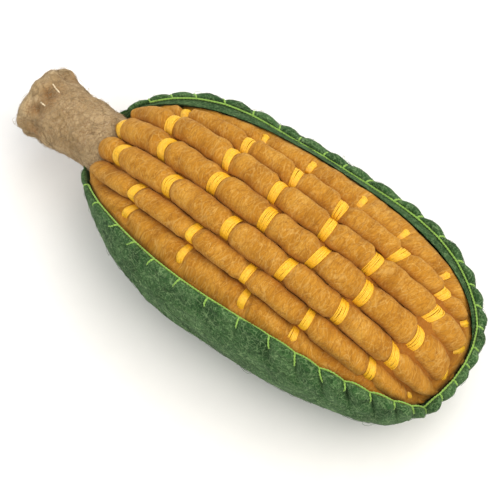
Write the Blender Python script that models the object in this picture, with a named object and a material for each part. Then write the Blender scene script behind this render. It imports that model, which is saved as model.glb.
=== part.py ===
"""Handmade felt toy corn cob: a stuffed green felt husk, seven padded rows of kernels and a felt stem.

The cob lies on its belly. +X runs from the stem to the tip, -Y is the near side, +Z is up.
Every size is in millimetres and is turned into metres when a mesh is made.
"""
import math

import bmesh
import bpy
import numpy as np
from mathutils import Vector

MM = 0.001

# The husk's outer form: a round form that is blunter at the tip than at the stem
HUSK_HALF_LENGTH = 75.0
HUSK_HALF_WIDTH = 38.2
HUSK_RISE = 30.1  # from the widest level up
HUSK_DROP = 26.9  # from the widest level down
WIDEST_LEVEL = 26.4  # less than the drop, so the belly ends in a small flat spot
HUSK_TIP_BLUNTNESS = 2.42  # 2 is an ellipse, more is squarer
HUSK_STEM_BLUNTNESS = 2.05

# The dome that the tops of the kernel rows lie on
DOME_HALF_LENGTH = 72.2
DOME_HALF_WIDTH = 35.3
DOME_RISE = 30.5
DOME_DROP = 23.5
DOME_TIP_BLUNTNESS = 2.45
DOME_STEM_BLUNTNESS = 2.0
DOME_MEAN_RADIUS = 32.5  # turns a distance across the dome into an angle

# The felt's free edge, as a height angle above the widest level for each compass angle from the tip.
# It dips to a corner on the near side of the tip, and runs low beside the stem.
RIM_HEIGHTS = {
    -180: -20, -166: -12, -150: 2.5, -135: 17, -120: 24.7, -100: 29.6, -85: 31.4, -70: 31, -55: 24, -40: 16,
    -31: 7.6, -24: -0.3, -17: 7, -2: 10, 14: 13, 30: 14, 45: 15, 60: 22, 75: 29, 95: 32, 110: 31,
    125: 25, 140: 18, 153: 9, 166: -5, 180: -18,
}
RIM_CORNER = -24.0
RIM_EASING = 6.0  # degrees over which the listed heights are eased into each other
# How far the felt stands out from the round form, at its edge and lower down the wall
EDGE_FULLNESS = {
    -180: 0, -150: -1.2, -138: -0.3, -120: 0.9, -92: 1.2, -58: 1.2, -40: 0.7, -24: 0.8, -8: 0.6, 0: 0.4,
    12: 0.6, 24: 1.0, 35: 0.6, 55: 2.1, 65: 1.3, 80: 0.2, 105: 0, 120: 1.7, 132: 2.1, 144: 1.0, 156: -0.3,
    165: 0, 180: 0,
}
WALL_FULLNESS = {
    -180: -1.0, -165: -1.2, -150: -2.0, -136: -1.4, -120: 0.8, -105: 1.3, -88: 0.3, -70: 0, -54: 0.4,
    -44: 1.2, -34: 2.0, -24: -0.4, -8: -2.2, 6: -3.0, 18: -2.8, 28: -1.4, 40: -0.3, 140: 0, 156: -0.7, 180: -1.0,
}
WALL_BEGINS = 0.25  # share of the way down to the belly at which the wall has its own fullness
BELLY_BEGINS = 0.42  # from here on the fullness fades, so that the belly keeps the round form
EDGE_THICKNESS = 1.6  # where the blanket stitch squeezes the felt
OVERHANG = 0.5  # share of the tuck at which the felt meets the rolls
HUG = 0.4  # between the rolls and the inside of the felt
EDGE_CROWN = 2.0  # degrees that the middle of the felt's edge stands above its outer corner
EDGE_SECTION = (  # depth under the outer form, degrees above the outer corner, share of the scallop
    (0.2, 0.0, 1.0), (EDGE_THICKNESS / 2, EDGE_CROWN, 0.6), (EDGE_THICKNESS, EDGE_CROWN / 2, 0.0),
)
STITCHES = (  # compass angles of the blanket stitch's legs, from the corner near the tip right round to it
    -24, -16, -7, 3, 12, 22, 31, 39, 47, 55, 62, 69, 78, 86, 93, 102, 109, 118, 127, 136, 144, 152, 161, 170,
    180, 190, 200, 211, 221, 232, 240, 248, 258, 268, 279, 289, 297, 304, 311, 318, 325, 331,
)
COLUMNS_PER_STITCH = 3
NOTCH_DEPTH = 0.9  # how far a leg pulls the felt's edge in
LOBE_SWELL = 0.6  # how far the edge puffs out between two legs
WALL_STEPS = (0.05, 0.13, 0.27, 0.42, 0.57, 0.71, 0.83, 0.92)  # from the edge down to the belly
BED_STEPS = (0.3, 0.62, 0.86)  # from the wall's foot to the top of the bed

# The rows of kernels: felt rolls sewn down side by side
ROLL_THICKNESS = 8.0
SEWING_GAP = 0.3
BED_GAP = 1.6  # under the rolls, whose undersides are flat across
TUCK = 8.5  # degrees that the rolls reach under the felt's edge
TUCK_LEAN = 1.5  # added to the tuck on the near side and taken from it on the far side
WALL_CLEARANCE = 2.4  # degrees between the rolls and the inside of the felt
LEAST_WIDTH = 2.6  # a roll ends where less of its width than this is left
CREST_ROOM = 0.35  # share of the width left that the crest keeps from either side of it
OUTER_FALL = 0.35  # the share of its fall that an outermost roll has on the side of the felt
ROLL_SECTION = (  # across the roll, and down from its crest as a share of its thickness
    (-1.0, 1.0), (-1.0, 0.55), (-0.86, 0.27), (-0.5, 0.07), (0.0, 0.0),
    (0.5, 0.07), (0.86, 0.27), (1.0, 0.55), (1.0, 1.0),
)
ROLL_END = ((0.0, 1.8, 0.8), (1.2, 0.5, 0.95), (3.0, 0.1, 1.0))  # from the end, fall of the crest, width
PINCH_DROP = 1.5  # how far a band pulls the roll's crest down
PINCH_WIDTH = 0.9  # share of the roll's width that is left there
BAND_WIDTH = 3.4
BAND_RELIEF = 0.5
BAND_REACH = 0.93  # share of the roll's width that the floss spans
BAND_STEP = 0.15  # the floss's side is this steep
KERNEL_SHOULDER = 2.6  # from a band to where the kernel has its full height
SHOULDER_DROP = 0.3
SHORTEST_KERNEL = 5.0
SHORTEST_END = 1.5
WIDEST_TURN = 112.0  # degrees from straight up that a row is looked for
FIRST_STATION = 4.0  # degrees along the dome from its stem end
LAST_STATION = 177.5
FINE_ANGLE = 0.25

MEAN_BOW = 0.3  # taken from the square of the share, so that a bow leaves the row's mean place alone

# Each row of kernels: its distance across the dome from the top line, its drift and its bow over the
# half length, and how far its crest lies under the dome
ROWS = {
    1: {"at": -29.6, "drift": -6.5, "bow": 0.0, "sink": 0.5},
    2: {"at": -21.5, "drift": -3.9, "bow": 3.0, "sink": 0.2},
    3: {"at": -12.0, "drift": -4.2, "bow": 2.4, "sink": 0.0},
    4: {"at": -2.5, "drift": -4.0, "bow": 1.9, "sink": 0.0},
    5: {"at": 8.2, "drift": -4.2, "bow": 3.2, "sink": 0.0},
    6: {"at": 17.8, "drift": -4.3, "bow": 2.8, "sink": 0.2},
    7: {"at": 25.6, "drift": -1.6, "bow": -1.0, "sink": 0.4},
}
# The floss bands of each row, as distances along it from the middle of the cob
BANDS = {
    1: (-45, -18.3, 7.5, 27.6, 45.5),
    2: (-45.9, -19, 4.3, 29.2, 55.5, 74),
    3: (-61, -35.6, -9.3, 14.3, 37, 59.3),
    4: (-70, -46.5, -22.4, -0.8, 20.6, 39.7, 62, 81),
    5: (-52, -24.9, -4.3, 17, 36, 61.4, 79.5),
    6: (-53.4, -24.2, -3.4, 15.3, 40.2, 59.3, 73),
    7: (-22.3, -2.9, 18, 35.6, 55),
}
NEAR_ROW_EDGE = -41.0  # the outermost rolls reach under the felt's edge, which cuts them shorter
FAR_ROW_EDGE = 40.0

# The stem: a felt tube, gathered at its free end
STEM_LEVEL = 24.0
STEM_OFFSET = -1.0
STEM_ROOT = -58.0
STEM_PROFILE = (  # distance along the cob, radius
    (-58.4, 11.0), (-66.0, 11.1), (-73.0, 10.6), (-80.0, 10.9), (-87.0, 11.7), (-92.5, 12.3),
    (-96.0, 12.2), (-98.2, 10.6), (-98.8, 8.0), (-98.2, 5.0),
)
STEM_DIMPLE = -96.8
STEM_SIDES = 20
STEM_LOBES = 5
LOBE_HEIGHT = 0.07  # share of the radius
LOBES_BEGIN = -87.0
LOBES_GROW = 8.0  # length over which the lobes come to their full height
STEM_CLEARANCE = 0.35
CREST_OVER_STEM = 1.5

# The lime thread that runs along the felt's edge
THREAD_RADIUS = 0.4
THREAD_SIDES = 5
THREAD_LIFT = 1.05
THREAD_LEAN = 110.0  # degrees from straight out: up and a little towards the rows
THREAD_STEM_GAP = 24.0  # degrees either side of the stem without thread


def form_point(direction, half_length, half_width, rise, drop, bluntness):
    """Where a ray from the middle of the cob leaves a rounded form."""
    cx, cy, cz = direction
    across = cy * cy + cz * cz
    reach = (abs(cx) ** bluntness + across ** (bluntness / 2)) ** (-1 / bluntness)
    height = rise if cz > 0 else drop
    return Vector((half_length * cx * reach, half_width * cy * reach, WIDEST_LEVEL + height * cz * reach))


def husk_point(direction, depth=0.0):
    bluntness = HUSK_TIP_BLUNTNESS if direction[0] > 0 else HUSK_STEM_BLUNTNESS
    sizes = (HUSK_HALF_LENGTH - depth, HUSK_HALF_WIDTH - depth, HUSK_RISE - depth, HUSK_DROP - depth)
    point = form_point(direction, *sizes, bluntness)
    point.z = max(point.z, 0.0)
    return point


def listed(values, azimuth, window):
    """A listed value at a compass angle, eased over a window round it."""
    around = [(azimuth + step * window + 180.0) % 360.0 - 180.0 for step in (-1.0, -0.5, 0.0, 0.5, 1.0)]
    return float(np.mean(np.interp(around, list(values), list(values.values()))))


def felt_point(azimuth, height, depth=0.0, share=0.0):
    """A point of the felt, at a depth in it and a share of the way from its edge down to the belly."""
    wall = min(share / WALL_BEGINS, 1.0)
    edge = listed(EDGE_FULLNESS, azimuth, RIM_EASING)
    fullness = edge + (listed(WALL_FULLNESS, azimuth, RIM_EASING) - edge) * wall
    fading = min((1.0 - share) / (1.0 - BELLY_BEGINS), 1.0)
    return husk_point(compass(azimuth, height), depth - fullness * fading)


def dome_point(direction, depth=0.0):
    bluntness = DOME_TIP_BLUNTNESS if direction[0] > 0 else DOME_STEM_BLUNTNESS
    sizes = (DOME_HALF_LENGTH - depth, DOME_HALF_WIDTH - depth, DOME_RISE - depth, DOME_DROP - depth)
    return form_point(direction, *sizes, bluntness)


def compass(azimuth, height):
    """A direction from its compass angle round the cob and its angle above the widest level, in degrees."""
    a, h = math.radians(azimuth), math.radians(height)
    return (math.cos(h) * math.cos(a), math.cos(h) * math.sin(a), math.sin(h))


def rim_height(azimuth):
    """The height angle of the felt's edge: the listed heights, eased everywhere but at the corner."""
    azimuth = (azimuth + 180.0) % 360.0 - 180.0
    return listed(RIM_HEIGHTS, azimuth, min(RIM_EASING, abs(azimuth - RIM_CORNER) / 2))


def tuck(azimuth):
    return TUCK - TUCK_LEAN * math.sin(math.radians(azimuth))


def height_above_wall(direction):
    """How far a direction is above the place where the rolls meet the inside of the felt, in degrees."""
    azimuth = math.degrees(math.atan2(direction[1], direction[0]))
    return math.degrees(math.asin(direction[2])) - rim_height(azimuth) + tuck(azimuth)


def lengths_along(points):
    steps = [(b - a).length for a, b in zip(points, points[1:])]
    return np.concatenate([[0.0], np.cumsum(steps)])


def material(name, colour, roughness):
    made = bpy.data.materials.new(name)
    made.use_nodes = True
    shader = made.node_tree.nodes["Principled BSDF"]
    shader.inputs["Base Color"].default_value = (*colour, 1.0)
    shader.inputs["Roughness"].default_value = roughness
    shader.inputs["Metallic"].default_value = 0.0
    return made


def closed_mesh(name, rings, first_cap, last_cap):
    """A closed body from rings of points that run from one end to the other, each end closed by a fan."""
    bm = bmesh.new()
    loops = [[bm.verts.new(point * MM) for point in ring] for ring in rings]
    count = len(loops[0])
    for low, high in zip(loops, loops[1:]):
        for i in range(count):
            j = (i + 1) % count
            bm.faces.new((low[i], low[j], high[j], high[i]))
    for loop, cap in ((loops[0], first_cap), (loops[-1], last_cap)):
        tip = bm.verts.new(cap * MM)
        for i in range(count):
            bm.faces.new((loop[i], loop[(i + 1) % count], tip))
    bmesh.ops.recalc_face_normals(bm, faces=bm.faces)
    bmesh.ops.triangulate(bm, faces=bm.faces)
    mesh = bpy.data.meshes.new(name)
    bm.to_mesh(mesh)
    bm.free()
    mesh.shade_smooth()
    return mesh


def place(name, mesh, finish):
    body = bpy.data.objects.new(name, mesh)
    body.data.materials.append(finish)
    bpy.context.scene.collection.objects.link(body)
    return body


def cut(body, cutter):
    """Takes the cutter's form out of the body and applies the cut."""
    modifier = body.modifiers.new("stem socket", "BOOLEAN")
    modifier.operation = "DIFFERENCE"
    modifier.solver = "EXACT"
    modifier.object = cutter
    bpy.context.view_layer.update()
    evaluated = body.evaluated_get(bpy.context.evaluated_depsgraph_get())
    mesh = bpy.data.meshes.new_from_object(evaluated)
    body.modifiers.clear()
    body.data = mesh


def rim_columns():
    """Compass angles along the felt's edge, three for each stitch, from the corner right round."""
    legs = STITCHES + (STITCHES[0] + 360,)
    places = np.arange(len(STITCHES) * COLUMNS_PER_STITCH) / COLUMNS_PER_STITCH
    return [float(a) for a in np.interp(places, range(len(legs)), legs)]


def make_husk(finish, columns):
    """The stuffed husk: outer skin, thick scalloped edge, inner face and the bed under the rows."""
    swell = [NOTCH_DEPTH if i % COLUMNS_PER_STITCH == 0 else -LOBE_SWELL for i in range(len(columns))]
    rings = []
    for share in reversed(WALL_STEPS):
        ring = []
        for azimuth, relief in zip(columns, swell):
            edge = rim_height(azimuth)
            pull = relief * max(0.0, 1.0 - share / WALL_STEPS[1])
            ring.append(felt_point(azimuth, edge + (-90.0 - edge) * share, pull, share))
        rings.append(ring)
    for depth, crown, pull in EDGE_SECTION:
        rings.append([
            felt_point(a, rim_height(a) + crown, depth + pull * relief)
            for a, relief in zip(columns, swell)
        ])
    bed_depth = ROLL_THICKNESS + BED_GAP
    feet = [rim_height(a) - tuck(a) - WALL_CLEARANCE for a in columns]
    rings.append([dome_point(compass(a, rim_height(a) - tuck(a) * OVERHANG), -HUG) for a in columns])
    rings.append([dome_point(compass(a, foot), -HUG) for a, foot in zip(columns, feet)])
    for share in (0.0,) + BED_STEPS:
        rings.append([
            dome_point(compass(a, foot + (90.0 - foot) * share), bed_depth)
            for a, foot in zip(columns, feet)
        ])
    belly = Vector((0.0, 0.0, 0.0))
    crown = dome_point((0.0, 0.0, 1.0), bed_depth)
    return place("husk", closed_mesh("husk", rings, belly, crown), finish)


def row_place(row, share):
    """The middle of a row, as a distance across the dome, at a share of the half length from the middle."""
    return row["at"] + row["drift"] * share + row["bow"] * (share * share - MEAN_BOW)


def row_edges(number, share):
    """Where a row meets its neighbours, as distances across the dome."""
    middle = row_place(ROWS[number], share)
    low = (middle + row_place(ROWS[number - 1], share)) / 2 if number > 1 else NEAR_ROW_EDGE
    high = (middle + row_place(ROWS[number + 1], share)) / 2 if number < len(ROWS) else FAR_ROW_EDGE
    return low, high


class Station:
    """One cross-section of the dome, at an angle along the cob from the stem (0) to the tip (pi)."""

    def __init__(self, angle):
        self.cx, self.r = -math.cos(angle), math.sin(angle)
        top = dome_point((self.cx, 0.0, self.r))
        self.share = top.x / DOME_HALF_LENGTH
        self.scale = (top.z - WIDEST_LEVEL) / DOME_RISE

    def direction(self, across):
        turn = across / (DOME_MEAN_RADIUS * self.scale)
        return (self.cx, self.r * math.sin(turn), self.r * math.cos(turn))

    def inside(self, across):
        return height_above_wall(self.direction(across)) > 0

    def rim_place(self, start, goal):
        """The last place from start towards goal that is clear of the felt's edge."""
        if self.inside(goal):
            return goal
        clear, blocked = start, goal
        for _ in range(16):
            middle = (clear + blocked) / 2
            clear, blocked = (middle, blocked) if self.inside(middle) else (clear, middle)
        return clear

    def full_span(self, number):
        reach = math.radians(WIDEST_TURN) * DOME_MEAN_RADIUS * self.scale
        low, high = row_edges(number, self.share)
        return max(low, -reach), min(high, reach)

    def span(self, number):
        """The part of a row's width that lies inside the felt's edge, or None where there is too little."""
        low, high = self.full_span(number)
        seed = (low + high) / 2
        if not self.inside(seed):
            seed = low if self.inside(low) else high
        if low >= high or not self.inside(seed):
            return None
        low, high = self.rim_place(seed, low), self.rim_place(seed, high)
        if high - low < LEAST_WIDTH:
            return None
        return low, high


def over_stem(point):
    reach = math.hypot(point.y - STEM_OFFSET, point.z - STEM_LEVEL)
    return point.x > STEM_ROOT or reach > STEM_PROFILE[1][1] + CREST_OVER_STEM


def row_path(number):
    """Stations of a row from end to end, with the distance along its crest from the middle of the cob."""
    stations, crests = [], []
    for angle in np.radians(np.arange(FIRST_STATION, LAST_STATION, 2 * FINE_ANGLE)):
        station = Station(float(angle))
        span = station.span(number)
        if span is None:
            continue
        crest = dome_point(station.direction(sum(span) / 2))
        if over_stem(crest):
            stations.append((float(angle), span))
            crests.append(crest)
    along = lengths_along(crests)
    middle = np.interp(0.0, [crest.x for crest in crests], along)
    return stations, along - middle


def band_profile(start, end, bands):
    """Places along a row with how far the crest drops and how much of the width is kept."""
    half = BAND_WIDTH / 2
    places = [(start + inset, drop, kept) for inset, drop, kept in ROLL_END]
    last = places[-1][0]
    for band in [b for b in bands if start + half + SHORTEST_END < b < end - half - SHORTEST_END] + [end]:
        stop = band - (ROLL_END[-1][0] if band == end else half)
        if stop - last > SHORTEST_KERNEL:
            for at in (last + KERNEL_SHOULDER, (last + stop) / 2, stop - KERNEL_SHOULDER):
                places.append((at, 0.0 if at == (last + stop) / 2 else SHOULDER_DROP, 1.0))
        places = [place for place in places if place[0] < stop - 4 * BAND_STEP]
        if band < end:
            for edge, outward in ((band - half, -BAND_STEP), (band + half, BAND_STEP)):
                foot = (edge + outward, PINCH_DROP + BAND_STEP, PINCH_WIDTH)
                brow = (edge, PINCH_DROP - BAND_RELIEF, BAND_REACH)
                places += [foot, brow] if outward < 0 else [brow, foot]
            last = band + half
    return places + [(end - inset, drop, kept) for inset, drop, kept in reversed(ROLL_END)]


def roll_section(number):
    """The section of a roll, which stays nearly full on a side that lies against the felt."""
    against_felt = {1: -1.0, len(ROWS): 1.0}.get(number, 0.0)
    return [
        (across, down * OUTER_FALL if across * against_felt > 0 and down < 1 else down)
        for across, down in ROLL_SECTION
    ]


def make_roll(number, finish):
    """A felt roll along the dome, pinched at each band, with the band standing as a low relief."""
    stations, along = row_path(number)
    angles = [angle for angle, _ in stations]
    lows, highs = [span[0] for _, span in stations], [span[1] for _, span in stations]
    rings = []
    for place_along, fall, kept in band_profile(along[0], along[-1], BANDS[number]):
        drop = fall + ROWS[number]["sink"]
        station = Station(float(np.interp(place_along, along, angles)))
        low, high = np.interp(place_along, along, lows), np.interp(place_along, along, highs)
        full_low, full_high = station.full_span(number)
        room = CREST_ROOM * (high - low)
        crest = min(max(row_place(ROWS[number], station.share), low + room), high - room)
        ring = []
        for across, down in roll_section(number):
            side = (full_high - crest if across > 0 else crest - full_low) - SEWING_GAP / 2
            place_across = crest + across * side * kept
            place_across = min(max(place_across, low + SEWING_GAP / 2), high - SEWING_GAP / 2)
            depth = min(drop + ROLL_THICKNESS * down, ROLL_THICKNESS)
            ring.append(dome_point(station.direction(place_across), depth))
        rings.append(ring)
    ends = [sum(ring, Vector()) / len(ring) for ring in (rings[0], rings[-1])]
    return place(f"roll_{number}", closed_mesh(f"roll_{number}", rings, *ends), finish)


def stem_rings(grow):
    """Rings of the stem from its root to its free end, grown by a clearance."""
    rings = []
    for x, radius in STEM_PROFILE:
        lobes = LOBE_HEIGHT * min(max((LOBES_BEGIN - x) / LOBES_GROW, 0.0), 1.0)
        ring = []
        for i in range(STEM_SIDES):
            turn = 2 * math.pi * i / STEM_SIDES
            reach = (radius + grow) * (1 + lobes * math.cos(STEM_LOBES * turn))
            y, z = reach * math.sin(turn), reach * math.cos(turn)
            ring.append(Vector((x, STEM_OFFSET + y, STEM_LEVEL + z)))
        rings.append(ring)
    return rings


def make_stem(finish):
    rings = stem_rings(0.0)
    root = Vector((STEM_PROFILE[0][0], STEM_OFFSET, STEM_LEVEL))
    dimple = Vector((STEM_DIMPLE, STEM_OFFSET, STEM_LEVEL))
    return place("stem", closed_mesh("stem", rings, root, dimple), finish)


def make_stem_cutter():
    """The stem grown by its clearance: it makes the socket in the husk and trims the rows over it."""
    rings = stem_rings(STEM_CLEARANCE)
    for point in rings[0]:
        point.x = STEM_ROOT
    root = Vector((STEM_ROOT, STEM_OFFSET, STEM_LEVEL))
    end = Vector((STEM_DIMPLE, STEM_OFFSET, STEM_LEVEL))
    cutter = bpy.data.objects.new("stem_cutter", closed_mesh("stem_cutter", rings, root, end))
    cutter.hide_render = True
    cutter.display_type = "WIRE"
    bpy.context.scene.collection.objects.link(cutter)
    return cutter


def make_edge_thread(finish, columns):
    """The line of the blanket stitch: a thin thread on the felt's inner corner, open at the stem."""
    past_stem = [a for a in columns if a > 180.0 + THREAD_STEM_GAP]
    route = past_stem + [a for a in columns if a < 180.0 - THREAD_STEM_GAP]
    line = [
        felt_point(a, rim_height(a) + EDGE_CROWN / 2, EDGE_THICKNESS)
        + Vector(compass(a, THREAD_LEAN)) * THREAD_LIFT
        for a in route
    ]
    rings = []
    for i, centre in enumerate(line):
        ahead = line[min(i + 1, len(line) - 1)] - line[max(i - 1, 0)]
        side = ahead.cross(Vector((0, 0, 1))).normalized()
        up = side.cross(ahead).normalized()
        ring = []
        for j in range(THREAD_SIDES):
            turn = 2 * math.pi * j / THREAD_SIDES
            ring.append(centre + (side * math.cos(turn) + up * math.sin(turn)) * THREAD_RADIUS)
        rings.append(ring)
    return place("edge_thread", closed_mesh("edge_thread", rings, line[0], line[-1]), finish)


def stand_on_origin(bodies):
    """Moves the cob so that the middle of its box is over the origin and its belly is on the ground."""
    points = np.array([list(vertex.co) for body in bodies for vertex in body.data.vertices])
    low, high = points.min(axis=0), points.max(axis=0)
    shift = Vector((-(low[0] + high[0]) / 2, -(low[1] + high[1]) / 2, -low[2]))
    for body in bodies:
        for vertex in body.data.vertices:
            vertex.co += shift
        body.data.update()


def main():
    for old in list(bpy.data.objects):
        bpy.data.objects.remove(old)
    green_felt = material("green_felt", (0.074, 0.158, 0.058), 0.95)
    ochre_felt = material("ochre_felt", (0.62, 0.28, 0.045), 0.95)
    beige_felt = material("beige_felt", (0.47, 0.31, 0.14), 0.95)
    lime_thread = material("lime_thread", (0.30, 0.58, 0.10), 0.7)
    columns = rim_columns()
    husk = make_husk(green_felt, columns)
    stem = make_stem(beige_felt)
    rolls = [make_roll(number, ochre_felt) for number in ROWS]
    thread = make_edge_thread(lime_thread, columns)
    cutter = make_stem_cutter()
    for body in [husk] + rolls:
        cut(body, cutter)
    bpy.data.objects.remove(cutter)
    stand_on_origin([husk, stem, thread] + rolls)


main()
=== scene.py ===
# %% [markdown]
# # A handmade felt corn cob
# This notebook dresses the solids of a toy corn cob as what they are on the real thing: rolls of
# needle-felted wool, bands of embroidery floss, a wet-felted husk with a blanket-stitched edge and a
# felted stem. Two of the imported solids give the place of the cob; the sizes of the pieces are listed
# here, and each piece hides the solid that it stands for.

import math

import bpy
import numpy as np
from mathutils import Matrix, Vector
from mathutils.bvhtree import BVHTree


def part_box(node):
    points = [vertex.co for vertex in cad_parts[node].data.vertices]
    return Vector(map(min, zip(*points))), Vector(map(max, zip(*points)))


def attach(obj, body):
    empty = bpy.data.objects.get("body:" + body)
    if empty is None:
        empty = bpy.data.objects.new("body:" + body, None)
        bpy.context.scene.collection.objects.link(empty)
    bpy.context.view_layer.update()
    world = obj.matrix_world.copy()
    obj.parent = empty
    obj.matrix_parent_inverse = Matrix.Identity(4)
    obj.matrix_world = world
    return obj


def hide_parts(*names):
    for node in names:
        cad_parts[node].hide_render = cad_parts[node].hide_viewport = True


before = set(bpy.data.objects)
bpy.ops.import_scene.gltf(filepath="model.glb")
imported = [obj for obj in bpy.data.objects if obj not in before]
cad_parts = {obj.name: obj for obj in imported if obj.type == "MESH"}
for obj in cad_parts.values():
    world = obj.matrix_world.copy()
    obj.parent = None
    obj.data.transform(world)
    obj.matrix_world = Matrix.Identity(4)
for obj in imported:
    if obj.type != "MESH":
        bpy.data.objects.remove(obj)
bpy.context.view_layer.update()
print("solids:", sorted(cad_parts))

# %% [markdown]
# The cob was drawn in millimetres round its own middle and then stood on the origin. Two solids tell how
# far it was moved: the stem's root is at a known place along the cob, and the stem is round, so the middle
# of its box is its own middle.

# %% Find the middle of the cob
MM = 0.001
STEM_ROOT_X = -58.4  # distances along the cob, from its middle
STEM_OFFSET = -1.0

stem_low, stem_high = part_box("stem")
MIDDLE = np.array([
    stem_high.x - STEM_ROOT_X * MM,
    (stem_low.y + stem_high.y) / 2 - STEM_OFFSET * MM,
    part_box("husk")[0].z,
])


def in_frame(points):
    """Points in millimetres round the cob's middle, as metres in the frame."""
    return np.asarray(points) * MM + MIDDLE


print("middle of the cob in mm:", np.round(MIDDLE * 1000, 2))

# %% [markdown]
# ## Camera and studio
# A toy is photographed from a little way off with a long lens, looking down at it from over its near side.
# A long lens keeps the rows of kernels nearly parallel, as they are in the hand.

# %% Camera
CAMERA_AZIMUTH = 37.02
CAMERA_ELEVATION = 64.0
CAMERA_DISTANCE = 700.0  # mm
LENS = 155.0  # mm, on a 36 mm sensor
LOOK_AT = (-6.97, -3.71, 24.55)  # mm, from the cob's middle


def direction_to(azimuth, elevation):
    a, e = math.radians(azimuth), math.radians(elevation)
    return Vector((math.sin(a) * math.cos(e), -math.cos(a) * math.cos(e), math.sin(e)))


def aim(thing, azimuth, elevation, distance, target):
    """Stands a camera or lamp at a distance from the target, facing it."""
    back = direction_to(azimuth, elevation)
    thing.location = Vector(in_frame(target)) + back * distance * MM
    thing.rotation_euler = (-back).to_track_quat("-Z", "Y").to_euler()
    bpy.context.scene.collection.objects.link(thing)


camera_data = bpy.data.cameras.new("camera")
camera_data.lens = LENS
camera_data.sensor_width = 36.0
camera_data.clip_start, camera_data.clip_end = 0.01, 10.0
camera = bpy.data.objects.new("camera", camera_data)
aim(camera, CAMERA_AZIMUTH, CAMERA_ELEVATION, CAMERA_DISTANCE, LOOK_AT)
bpy.context.scene.camera = camera

# %% [markdown]
# Felt has no shine to catch, so it is lit softly: a large lamp high up beyond the tip, a weaker one on the
# near side of the stem, one behind the cob and a pale surround. The standard view transform keeps the dyed
# colours as they are mixed.

# %% Lamps and surround
LAMPS = {  # azimuth, elevation, distance mm, side mm, watts, colour
    "key": (102, 64, 900, 800, 6.0, "#FFF8EE"),
    "fill": (-30, 45, 1000, 700, 1.6, "#FFFDF8"),
    "back": (190, 50, 1000, 600, 2.0, "#F4F8FF"),
}
SURROUND = "#FFFFFF"
SURROUND_STRENGTH = 0.76


def linear(hex_colour):
    """An sRGB hex colour as the linear red, green, blue and alpha that the shaders work with."""
    values = [int(hex_colour[i:i + 2], 16) / 255 for i in (1, 3, 5)]
    return tuple(v / 12.92 if v <= 0.04045 else ((v + 0.055) / 1.055) ** 2.4 for v in values) + (1.0,)


for name, (azimuth, elevation, distance, side, watts, tint) in LAMPS.items():
    lamp_data = bpy.data.lights.new(name, "AREA")
    lamp_data.size = side * MM
    lamp_data.energy = watts
    lamp_data.color = linear(tint)[:3]
    aim(bpy.data.objects.new(name, lamp_data), azimuth, elevation, distance, (0, 0, 20))

world = bpy.data.worlds.new("studio")
world.use_nodes = True
world.node_tree.nodes["Background"].inputs["Color"].default_value = linear(SURROUND)
world.node_tree.nodes["Background"].inputs["Strength"].default_value = SURROUND_STRENGTH
bpy.context.scene.world = world
bpy.context.scene.view_settings.view_transform = "Standard"
print("lamps:", list(LAMPS))

# %% [markdown]
# ## Materials
# Wool felt is a mat of dyed fibres. Three things make it read as felt: soft mottling where the dyes were
# blended, thin curved fibre lines in lighter and darker shades, and a broad soft sheen from the fibre ends.
# A noise texture is level along curved lines, so the places where it crosses its middle value are thin
# curving threads: that is how the fibres are drawn, with no picture.

# %% A node helper
def add_node(material, kind, settings=None, **inputs):
    """Adds a node. A setting is a property, and an input is a value or another node's output."""
    tree = material.node_tree
    node = tree.nodes.new(kind)
    for name, value in (settings or {}).items():
        setattr(node, name, value)
    for name, value in inputs.items():
        key = int(name[1:]) if name[0] == "_" else name.replace("_", " ")
        if isinstance(value, bpy.types.NodeSocket):
            tree.links.new(value, node.inputs[key])
        else:
            node.inputs[key].default_value = value
    return node


def new_material(name, roughness, **sockets):
    material = bpy.data.materials.new(name)
    material.use_nodes = True
    shader = material.node_tree.nodes["Principled BSDF"]
    for key, value in dict(Roughness=roughness, Metallic=0.0, **sockets).items():
        shader.inputs[key.replace("_", " ")].default_value = value
    return material, shader


def per_metre(millimetres):
    """A texture scale whose features are about this size."""
    return 1.0 / (millimetres * MM)


def attribute(material, name, output):
    return add_node(material, "ShaderNodeAttribute", {"attribute_name": name}).outputs[output]


def noise(material, place, size, **values):
    """A noise with features of about this size in millimetres."""
    return add_node(
        material, "ShaderNodeTexNoise", Vector=place, Scale=per_metre(size), **values,
    ).outputs["Fac"]


def mixed(material, share, first, second):
    return add_node(
        material, "ShaderNodeMix", {"data_type": "RGBA"}, Factor=share, _6=first, _7=second,
    ).outputs[2]


def set_toned_colour(material, shader, colour, field, spread, tones):
    """Gives the shader a colour that a noise field darkens and lightens."""
    light = add_node(
        material, "ShaderNodeMapRange", Value=field, From_Min=spread[0], From_Max=spread[1],
        To_Min=tones[0], To_Max=tones[1],
    ).outputs["Result"]
    toned = add_node(material, "ShaderNodeVectorMath", {"operation": "SCALE"}, Vector=colour, Scale=light)
    material.node_tree.links.new(toned.outputs["Vector"], shader.inputs["Base Color"])


# %% [markdown]
# One function makes all three felts, because they are the same material in different dyes. Fibres are
# 0.02 to 0.03 mm thick on the real wool, too fine for one picture element, so the lines stand for small
# locks of fibres, about 0.2 mm wide. `stretch` makes them run one way, as they do round a roll.

# %% Felted wool
WOOL_IOR = 1.54
WOOL_ROUGHNESS = 0.92
FIBRE_LINES = (  # size of the pattern in mm, half width of a line in the noise, strength, 0 dark or 1 light
    (4.6, 0.016, 0.6, 1), (3.4, 0.02, 0.7, 0), (2.2, 0.03, 0.5, 1), (2.4, 0.028, 0.6, 0),
    (1.3, 0.06, 0.4, 1), (1.1, 0.07, 0.45, 0),
)
LAYER_SHIFT = (0.31, 0.17, 0.05)  # metres, so that no two layers of lines have the same pattern
SHADE_PLACES = (0.34, 0.5, 0.66)
FUZZ_SIZE = 0.55  # mm, coarser than the real fuzz
BUMP_DEPTH = 0.25  # mm


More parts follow.
